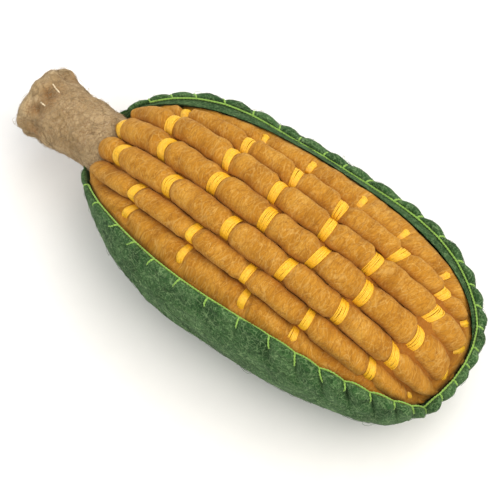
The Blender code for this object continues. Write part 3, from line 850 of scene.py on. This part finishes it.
for number in ROWS:
    path = row_path(number)
    start, end = path["along"][0], path["along"][-1]
    bands = [b for b in BANDS[number] if start + END_MARGIN < b < end - END_MARGIN]
    row_shapes[number] = {"path": path, "bands": bands}
    distances = np.arange(start + 0.05, end, ROLL_STEP)
    top = roll_surface(number, distances, ROLL_TURNS, 0.0)
    uneven = soft_field(top, 8.0, 20 + number) * SWELLS + soft_field(top, 2.6, 40 + number) * DENTS
    top = top + unit(top - top[:, [0, -1]].mean(axis=1, keepdims=True)) * uneven[..., None]
    low_side = roll_surface(number, distances, ROLL_TURNS[:1], 0.0)
    high_side = roll_surface(number, distances, ROLL_TURNS[-1:], 0.0)
    middle_line = top[:, [0, -1]].mean(axis=1, keepdims=True)
    base = middle_line + (middle_line - top[:, [len(ROLL_TURNS) // 2]]) * 0.5
    rings = np.concatenate([top, high_side * 0.6 + base * 0.4, base, low_side * 0.6 + base * 0.4], axis=1)
    round_turns = np.concatenate([ROLL_TURNS, [2.2, math.pi, -2.2]])
    place = np.stack(np.broadcast_arrays(distances[:, None], round_turns * HALF_WIDTH, number * 40.0), -1)
    # painted shade: the sides of each roll darken towards the groove, less on the side against the felt
    groove = smooth_step(0.35, 1.0, np.abs(round_turns) / (math.pi / 2)) * GROOVE_PAINTED_SHADE
    groove *= np.where(round_turns * against_felt(number) > 0, 0.25, 1.0)
    painted_shade = np.broadcast_to(groove, rings.shape[:2])
    caps = [rings[0].mean(axis=0), rings[-1].mean(axis=0)]
    piece = skin(
        f"kernel_row_{number}", rings, caps, "ochre_felt",
        place=place, painted_shade=painted_shade, replaces=(f"roll_{number}",),
    )
    row_shapes[number]["piece"] = piece
    print(piece.name, "from", round(start, 1), "to", round(end, 1), "mm,", len(bands), "bands")

# %% [markdown]
# Under the rolls lies a padded base of the same wool. It shows as the warm dark at the bottom of the grooves,
# with painted shade that grows as it goes down, and it comes up beside the felt where the rolls stop short
# of it, so a plain dome does.

# %% Base under the rows
BASE_DEPTH = 4.8
BASE_EDGE_DEPTHS = {  # beside the felt, where the wool fills the gap that the rolls leave
    -180: 0.7, -30: 0.6, 25: 0.8, 50: 2.4, 150: 2.4, 180: 0.7,
}
BASE_TIP_DEPTH = 2.8
BASE_SINKS = (0.17, 0.27)  # shares of the way up over which it goes down from the felt's edge
base_azimuths = np.arange(0, 360, 2.0)
base_shares = np.linspace(0.0, 0.94, 28)
base_foot = rim_height(base_azimuths) - tuck(base_azimuths) - 4.0
base_heights = base_foot + (90 - base_foot) * base_shares[:, None]
base_directions = compass(base_azimuths, base_heights)
toward_tip = smooth_step(50.0, 62.0, form_point(DOME, base_directions)[..., 0])
base_deepest = BASE_DEPTH + (BASE_TIP_DEPTH - BASE_DEPTH) * toward_tip
base_sunk = smooth_step(*BASE_SINKS, base_shares[:, None] * (1 + 0.5 * toward_tip))
base_edge = listed(BASE_EDGE_DEPTHS, base_azimuths, RIM_EASING)
base_rings = form_point(DOME, base_directions, base_edge + (base_deepest - base_edge) * base_sunk)
# painted shade: the base darkens as it goes down under the rolls
base_painted_shade = np.broadcast_to(0.1 + 0.6 * base_sunk, base_rings.shape[:2])
base = skin(
    "kernel_base", base_rings, [(0, 0, WIDEST_LEVEL - 12), form_point(DOME, (0, 0, 1), BASE_DEPTH)],
    "ochre_felt", painted_shade=base_painted_shade,
)
print("base:", len(base.data.polygons), "faces")

# %% [markdown]
# ## The bands of floss
# Each band is one thread of stranded floss wound a few times over the roll and pulled tight. The strands
# are separate tubes, because that gives the fine streaks and the ragged outline that a printed band
# lacks. They lie close over the pinched roll, wander a little and close up where they go down between the
# rolls.

# %% Floss
STRANDS = 9
STRAND_RADIUS = 0.24  # drawn a little thicker than one strand of floss, so that it shows
STRAND_SIDES = 5
STRAND_TURNS = np.radians(np.linspace(-86, 86, 19))
STRAND_LIFT = 0.22  # mm above the wool at the band's edges
BAND_CROWN = 0.3  # mm more at its middle
CLOSING = 0.22  # share by which a band closes up down in the groove
BREADTH = {1: 0.8, 2: 0.85, 7: 0.6}  # the outermost bands have fewer turns of floss
FLOSS_SPAN = {7: 0.55}  # share of the roll's inner side that the floss covers
DIVE = 0.9  # how deep an end that stops on top of its roll goes into the wool

low_down = np.abs(STRAND_TURNS) / (math.pi / 2)
closing = 1 - CLOSING * low_down ** 2
for number in ROWS:
    shape = row_shapes[number]["path"]
    inner_turns = STRAND_TURNS * FLOSS_SPAN.get(number, 1.0)
    paths = []
    toward_felt = np.maximum(STRAND_TURNS * against_felt(number), 0) / STRAND_TURNS[-1]
    toward_dive = np.abs(STRAND_TURNS) / STRAND_TURNS[-1] if number in FLOSS_SPAN else toward_felt
    for band in row_shapes[number]["bands"]:
        crest, low, high = (
            np.interp(band, shape["along"], shape[key]) for key in ("crest", "full_low", "full_high")
        )
        reach = (high - crest) if against_felt(number) > 0 else (crest - low)
        steepest = math.asin(min(FLOSS_REACH.get(number, reach) * rng.uniform(0.85, 1.15) / reach, 1.0))
        turns = np.where(toward_felt > 0, STRAND_TURNS * steepest / STRAND_TURNS[-1], inner_turns)
        lean = rng.normal(0, 0.35)
        breadth = rng.uniform(0.92, 1.08) * BREADTH.get(number, 1.0)
        for strand in range(STRANDS):
            slot_share = (strand - (STRANDS - 1) / 2) / ((STRANDS - 1) / 2)
            wander = rng.normal(0, 0.1) * np.sin(STRAND_TURNS * 2 + rng.uniform(0, 6))
            offset = slot_share * (BAND_HALF - 0.15) * breadth * closing + wander + lean * STRAND_TURNS
            lift = STRAND_LIFT + BAND_CROWN * (1 - slot_share ** 2) + rng.normal(0, 0.05)
            lift = lift - DIVE * toward_dive ** 6
            paths.append([
                roll_surface(number, np.array([band + o]), np.array([turn]), rise)[0, 0]
                for o, turn, rise in zip(offset, turns, lift)
            ])
    paths = np.array(paths)
    middle_point = paths.mean(axis=1, keepdims=True) - np.array([0, 0, 4.0])
    # painted shade: each strand darkens towards where the band goes down between the rolls
    floss = tubes(
        f"floss_row_{number}", paths, unit(paths - middle_point), STRAND_RADIUS, STRAND_SIDES,
        "yellow_floss", painted_shade=np.broadcast_to(low_down ** 3 * 0.8, paths.shape[:2]),
    )
    print(floss.name, len(paths), "strands")

# %% [markdown]
# ## The stem
# A beige felt tube whose free end is gathered with a few stitches. Each stitch pulls a dimple, and a
# soft lip stands round the end. The profile is turned round the stem's axis, and the lip, the lobes and
# the dimples are added as smooth moves of the same skin.

# %% Stem
STEM_PROFILE = {  # distance along the cob: radius
    -58.4: 11.0, -66.0: 11.1, -73.0: 10.6, -80.0: 10.9, -87.0: 11.6, -90.5: 11.5, -92.5: 12.1, -95.0: 12.6,
    -97.0: 12.3, -98.3: 11.0, -98.8: 9.0, -98.9: 6.5, -97.8: 3.5,
}
STEM_DIMPLES = (  # distance along the cob, turn in degrees, depth, breadth; a negative depth is a lobe
    (-93.4, 70, -1.2, 2.8), (-92.0, -4, 2.7, 2.4), (-92.6, -40, 2.5, 2.4), (-92.8, 42, 1.2, 2.6),
    (-92.5, -78, 1.2, 2.6), (-92.6, 80, 1.3, 2.6), (-92.5, 118, 1.3, 2.6), (-92.5, 160, 1.3, 2.6),
    (-92.5, -118, 1.3, 2.6), (-92.5, -160, 1.3, 2.6),
)
STEM_LOBES = ((0.045, 9, 0.9), (0.03, 5, 0.0))  # share of the radius, how many, turn of the first
STEM_SWELLS = ((9.0, 61, 0.22), (3.4, 62, 0.07))  # size, seed, height
STEM_COLUMNS = 160
profile_x = np.array(list(STEM_PROFILE))
profile_r = np.array(list(STEM_PROFILE.values()))
steps = np.concatenate([[0], np.cumsum(np.hypot(np.diff(profile_x), np.diff(profile_r)))])
stem_steps = np.arange(0, steps[-1], 0.5)
stem_x = ease(np.interp(stem_steps, steps, profile_x), 3)
stem_r = ease(np.interp(stem_steps, steps, profile_r), 3)
stem_turns = 2 * np.pi * np.arange(STEM_COLUMNS) / STEM_COLUMNS


def dimples(x, radius, turn):
    """How far a place on the stem is from the middle of each dimple, in breadths, and the dimple's depth."""
    for at, degrees, depth, breadth in STEM_DIMPLES:
        around = wrap(np.degrees(turn) - degrees) * np.pi / 180 * radius
        yield np.hypot(x - at, around * 0.9) / breadth, depth


def stem_surface(x, radius, turn):
    """Points on the stem, with its lobes and the dimples of its gathering stitches."""
    x, radius, turn = np.broadcast_arrays(x, radius, turn)
    toward_end = smooth_step(-86.0, -94.0, x)
    lobes = sum(height * toward_end * np.cos(count * turn + first) for height, count, first in STEM_LOBES)
    reach = radius * (1 + lobes)
    for gap, depth in dimples(x, radius, turn):
        reach = reach - depth * np.exp(-gap ** 2)
    points = np.stack([x, STEM_OFFSET + reach * np.sin(turn), STEM_LEVEL + reach * np.cos(turn)], -1)
    swell = sum(soft_field(points, size, seed) * height for size, seed, height in STEM_SWELLS)
    out = np.stack([0 * turn, np.sin(turn), np.cos(turn)], -1)
    return points + out * (swell * smooth_step(1.0, 6.0, radius))[..., None]


stem_rings = stem_surface(stem_x[:, None], stem_r[:, None], stem_turns[None, :])
# Painted shade in the dimples of the gathering stitches and in the opening of the end. A band behind the lip,
# uneven round the stem, and the rest of the body are made a little darker than the lip.
stem_painted_shade = np.zeros(stem_rings.shape[:2])
for gap, depth in dimples(stem_x[:, None], stem_r[:, None], stem_turns[None, :]):
    stem_painted_shade = np.maximum(stem_painted_shade, np.exp(-(gap * 1.05) ** 2) * np.clip(0.32 * depth, 0.0, 1.0))
end_painted_shade = smooth_step(7.5, 3.5, stem_r)[:, None] * 0.8
behind_lip = np.exp(-((stem_x[:, None] + 90.5) / 3.2) ** 2) * (0.45 + 0.25 * np.cos(4 * stem_turns + 0.6))
down_the_stem = 0.14 * smooth_step(-94.5, -91.0, stem_x)[:, None]
for darkness in (end_painted_shade, behind_lip, down_the_stem):
    stem_painted_shade = np.maximum(stem_painted_shade, darkness)
stem_place = np.stack(np.broadcast_arrays(stem_x[:, None], stem_turns[None, :] * 11.0, 0.0), -1)
stem_caps = [(STEM_ROOT_X, STEM_OFFSET, STEM_LEVEL), (-97.0, STEM_OFFSET, STEM_LEVEL)]
stem = skin(
    "stem_felt", stem_rings, stem_caps, "beige_felt",
    place=stem_place, painted_shade=stem_painted_shade, replaces=("stem",),
)
print("stem:", len(stem.data.polygons), "faces")

# %% [markdown]
# ## Sewing threads
# The blanket stitch is one plied lime thread. It runs along the felt's edge, and at every leg it dips over
# the edge and into the felt. Two plies wound round each other catch the light like a real thread, where a
# smooth wire would not.

# %% Plied thread
PLY_RADIUS = 0.21
PLY_OFFSET = 0.17  # from the middle of the thread to the middle of a ply
PLY_PITCH = 2.2  # mm to one turn
PLY_SIDES = 6
THREAD_STEP = 0.35


def resample(points, step):
    """The same line with points at even steps along it."""
    points = np.asarray(points, float)
    lengths = np.concatenate([[0], np.cumsum(np.linalg.norm(np.diff(points, axis=0), axis=1))])
    count = max(int(lengths[-1] / step), 3)
    at = np.linspace(0, lengths[-1], count + 1)
    return np.stack([np.interp(at, lengths, points[:, k]) for k in range(3)], -1), at


def plied(points, normal):
    """Two plies wound round a line, as two paths."""
    line, at = resample(points, THREAD_STEP)
    ahead = unit(np.gradient(line, axis=0))
    side = unit(np.cross(ahead, np.broadcast_to(normal, line.shape)))
    up = np.cross(side, ahead)
    found = []
    for phase in (0, np.pi):
        turn = 2 * np.pi * at / PLY_PITCH + phase
        found.append(line + PLY_OFFSET * (side * np.cos(turn)[:, None] + up * np.sin(turn)[:, None]))
    return found


def join_lines(name, lines, radius, slot, replaces=()):
    """One piece from plies of different lengths, each a closed tube."""
    points, faces, sides, start = [], [], PLY_SIDES, 0
    for line in lines:
        line = np.asarray(line)[None]
        normal = np.broadcast_to(np.array([0.1, 0.2, 1.0]), line.shape)
        ring = tube_points(line, normal, radius, sides)[0]
        for step in range(len(ring) - 1):
            for i in range(sides):
                low, j = start + step * sides, (i + 1) % sides
                faces.append((low + i, low + j, low + sides + j, low + sides + i))
        faces.append(tuple(start + i for i in reversed(range(sides))))
        faces.append(tuple(start + (len(ring) - 1) * sides + i for i in range(sides)))
        points.append(ring.reshape(-1, 3))
        start += len(points[-1])
    return finish_mesh(name, np.concatenate(points), faces, slot, replaces=replaces)


print("thread:", round(2 * (PLY_RADIUS + PLY_OFFSET), 2), "mm thick")

# %% [markdown]
# The line of the stitch lies on the inner corner of the felt's edge. Between two legs it is drawn partly
# straight, and the strongest lobes lift it. Each leg crosses the squeezed edge and ends in the felt 1 to
# 2 mm down the outside.

# %% Blanket stitch
LINE_CROWN = 2.0  # degrees above the outer corner
LINE_DEPTH = 1.6
LINE_RISE = 3.0  # degrees that the strongest lobes lift the line between two legs
LINE_SLACK = 0.7  # 0 is pulled straight, 1 follows the felt
LEG_DROPS = {  # degrees down the outside, by compass angle: long legs on the near side, short on the far side
    -180: 2.0, -120: 2.6, -60: 3.6, -28: 3.4, -10: 1.6, 180: 1.4,
}
THREAD_GAP_AT_STEM = 26.0  # degrees on each side of the stem without a stitch

after_stem = [a for a in STITCHES if a > 180.0 + THREAD_GAP_AT_STEM]
before_stem = [a for a in STITCHES if a < 180.0 - THREAD_GAP_AT_STEM]
route_angles = np.array(after_stem + [a + 360 for a in before_stem], float)


def edge_point(azimuth, crown, depth):
    return felt_point(azimuth, rim_height(azimuth) + crown, depth)


def leg_line(azimuth, seed):
    """A leg: from the line over the edge and down the outside, with a small hook at its end."""
    draw = np.random.default_rng(seed)
    lean = draw.uniform(-1.2, 0.6)
    drop = float(listed(LEG_DROPS, azimuth, 1.0)) * draw.uniform(0.8, 1.15)
    marks = (
        (0.0, LINE_CROWN, LINE_DEPTH), (0.05, LINE_CROWN, 0.9), (0.1, LINE_CROWN * 0.4, 0.4),
        (0.3, -drop * 0.35, 0.35), (0.7, -drop * 0.7, 0.3), (1.0, -drop, 0.45), (1.1, -drop - 0.6, 1.5),
    )
    return np.array([edge_point(azimuth + lean * share, crown, depth) for share, crown, depth in marks])


lines = []
leg_starts = np.array([edge_point(a, LINE_CROWN, LINE_DEPTH) for a in route_angles])
route = [leg_starts[0]]
for here, there, a, b in zip(leg_starts, leg_starts[1:], route_angles, route_angles[1:]):
    for share in (0.2, 0.4, 0.6, 0.8):
        straight = here + (there - here) * share
        azimuth = a + (b - a) * share
        rise = LINE_RISE * max(float(at_compass(PUFF, azimuth)) - 1.0, 0.0)
        on_edge = edge_point(azimuth, LINE_CROWN + rise * math.sin(math.pi * share), LINE_DEPTH)
        route.append(straight * (1 - LINE_SLACK) + on_edge * LINE_SLACK)
    route.append(there)
lines += plied(route, (0.0, 0.0, 1.0))
for seed, azimuth in enumerate(route_angles):
    outward = compass(azimuth, 20.0)
    lines += plied(leg_line(azimuth, 100 + seed), outward)
edge_stitch = join_lines("blanket_stitch", lines, PLY_RADIUS, "lime_thread", replaces=("edge_thread",))
print("blanket stitch:", len(route_angles), "legs,", len(edge_stitch.data.polygons), "faces")

# %% [markdown]
# Two cream stitches show on the gathered end of the stem, and four more go on round it.

# %% Stem stitches
STEM_STITCHES = (  # from and to: distance along the cob, turn in degrees
    (-93.8, 15, -88.8, 8), (-92.9, -25, -89.9, -26), (-93.2, 100, -89.6, 98), (-93.2, 140, -89.6, 138),
    (-93.2, 180, -89.6, 178), (-93.2, -140, -89.6, -139),
)
STEM_THREAD_RADIUS = 0.15  # of one ply
stitch_lines = []
for x0, turn0, x1, turn1 in STEM_STITCHES:
    share = np.linspace(0, 1, 7)
    x = x0 + (x1 - x0) * share
    turn = np.radians(turn0 + (turn1 - turn0) * share)
    radius = np.interp(x, stem_x[::-1], stem_r[::-1])
    lift = 0.25 - 1.2 * (2 * share - 1) ** 6
    stitch_lines += plied(stem_surface(x, radius + lift, turn), (0, math.sin(turn[3]), math.cos(turn[3])))
join_lines("stem_stitches", stitch_lines, STEM_THREAD_RADIUS, "cream_thread")
print("stem stitches:", len(STEM_STITCHES))

# %% [markdown]
# ## Loose fibres
# Felt is never smooth: fibre ends and loops stand off it everywhere. Real hairs would be lost when the
# model is exported, so each one is a thin mesh tube, 0.1 mm thick where real wool has 0.03 mm. A fibre
# starts on the surface, swings over it in an arc and comes back down, and a few stand up.

# %% Fibres
FIBRE_STEPS = 5
FIBRE_SIDES = 3


def surface_points(piece, count, draw, above):
    """Random places on a piece's faces, with their normals, in millimetres round the cob's middle."""
    mesh = piece.data
    total = len(mesh.polygons)
    area, normal, centre = np.zeros(total), np.zeros(total * 3), np.zeros(total * 3)
    mesh.polygons.foreach_get("area", area)
    mesh.polygons.foreach_get("normal", normal)
    mesh.polygons.foreach_get("center", centre)
    normal, centre = normal.reshape(-1, 3), (centre.reshape(-1, 3) - MIDDLE) / MM
    weight = area * above(centre, normal)
    chosen = draw.choice(total, count, p=weight / weight.sum())
    spread = np.sqrt(area[chosen])[:, None] / MM * draw.uniform(-0.5, 0.5, (count, 2))
    ahead = unit(np.cross(normal[chosen], (0.3, 0.5, 0.8)))
    side = np.cross(normal[chosen], ahead)
    return centre[chosen] + ahead * spread[:, :1] + side * spread[:, 1:], normal[chosen]


def fibre_paths(piece, count, length, height, radius, lay, swirl, seed, above):
    """Fibres over one piece: their points, the way up at each and their radii."""
    draw = np.random.default_rng(seed)
    root, normal = surface_points(piece, count, draw, above)
    heading = unit(np.cross(normal, np.asarray(lay, float)))
    side = np.cross(normal, heading)
    angle = draw.normal(0, swirl, count) + soft_field(root, 12.0, seed + 1) * 0.5
    run = heading * np.cos(angle)[:, None] + side * np.sin(angle)[:, None]
    turn = np.cross(normal, run)
    reach = length * draw.uniform(0.5, 1.4, count)[:, None]
    curl = draw.normal(0, 0.28, count)[:, None]
    t = np.linspace(-0.5, 0.5, FIBRE_STEPS)[None, :]
    flat = (
        root[:, None] + run[:, None] * (reach * t)[..., None]
        + turn[:, None] * (curl * reach * (4 * t * t - 0.5))[..., None]
    )
    tree = BVHTree.FromPolygons(
        [((v.co - Vector(MIDDLE)) / MM) for v in piece.data.vertices],
        [tuple(p.vertices) for p in piece.data.polygons],
    )
    rise = height * draw.exponential(1.0, count)[:, None] * (1 - 4 * t * t) ** 0.5 - radius * 0.5
    paths, ups = np.empty_like(flat), np.empty_like(flat)
    for i, line in enumerate(flat):
        for j, point in enumerate(line):
            found, up, _, _ = tree.find_nearest(Vector(point))
            paths[i, j] = np.array(found) + np.array(up) * rise[i, j]
            ups[i, j] = up
    thin = radius * (1 - 0.6 * (2 * np.abs(t)) ** 2)
    return paths, ups, np.broadcast_to(thin, paths.shape[:2])


def fibres(name, pieces, count, length, height, radius, lay, swirl, slot, seed, above):
    """One piece of fibres, `count` on each piece of wool: they run mostly along `lay` and `swirl` off it."""
    grown = [
        fibre_paths(piece, count, length, height, radius, lay, swirl, seed + number, above)
        for number, piece in enumerate(pieces)
    ]
    paths, ups, radii = (np.concatenate(parts) for parts in zip(*grown))
    return tubes(name, paths, ups, radii, FIBRE_SIDES, slot)


rolls = [shape["piece"] for shape in row_shapes.values()]
kernel_fuzz = fibres(
    "kernel_fuzz", rolls, count=1080, length=4.6, height=0.22, radius=0.065, lay=(1, 0, 0), swirl=0.7,
    slot="ochre_felt", seed=200, above=lambda centre, normal: normal[:, 2] > -0.1,
)
husk_fuzz = fibres(
    "husk_fuzz", [husk], count=6000, length=4.5, height=0.16, radius=0.055, lay=(0, 0, 1), swirl=0.9,
    slot="green_felt", seed=300, above=lambda centre, normal: centre[:, 2] > 3.0,
)
stem_fuzz = fibres(
    "stem_fuzz", [stem], count=2600, length=4.0, height=0.22, radius=0.055, lay=(1, 0, 0), swirl=0.9,
    slot="beige_felt", seed=310, above=lambda centre, normal: centre[:, 0] < -60.0,
)
print(kernel_fuzz.name, husk_fuzz.name, stem_fuzz.name)

# %% [markdown]
# ## The floor
# A plain pale floor, flat. It is staging, not part of the toy.

# %% Floor
FLOOR_HALF = 3.0  # metres
corners = [(x * FLOOR_HALF, y * FLOOR_HALF, 0) for x, y in ((-1, -1), (1, -1), (1, 1), (-1, 1))]
floor_mesh = bpy.data.meshes.new("floor")
floor_mesh.from_pydata(corners, [], [(0, 1, 2, 3)])
floor = bpy.data.objects.new("floor", floor_mesh)
floor_paper, floor_shader = new_material("matt_background_paper", 0.9)
grain = add_node(floor_paper, "ShaderNodeTexNoise", Scale=per_metre(1.5), Detail=3.0)
paper = add_node(floor_paper, "ShaderNodeValToRGB", Fac=grain.outputs["Fac"])
paper.color_ramp.elements[0].color = linear("#F1F0EE")
paper.color_ramp.elements[1].color = linear("#F6F5F3")
floor_paper.node_tree.links.new(paper.outputs["Color"], floor_shader.inputs["Base Color"])
floor_mesh.materials.append(floor_paper)
bpy.context.scene.collection.objects.link(floor)
print("floor:", 2 * FLOOR_HALF, "m square")
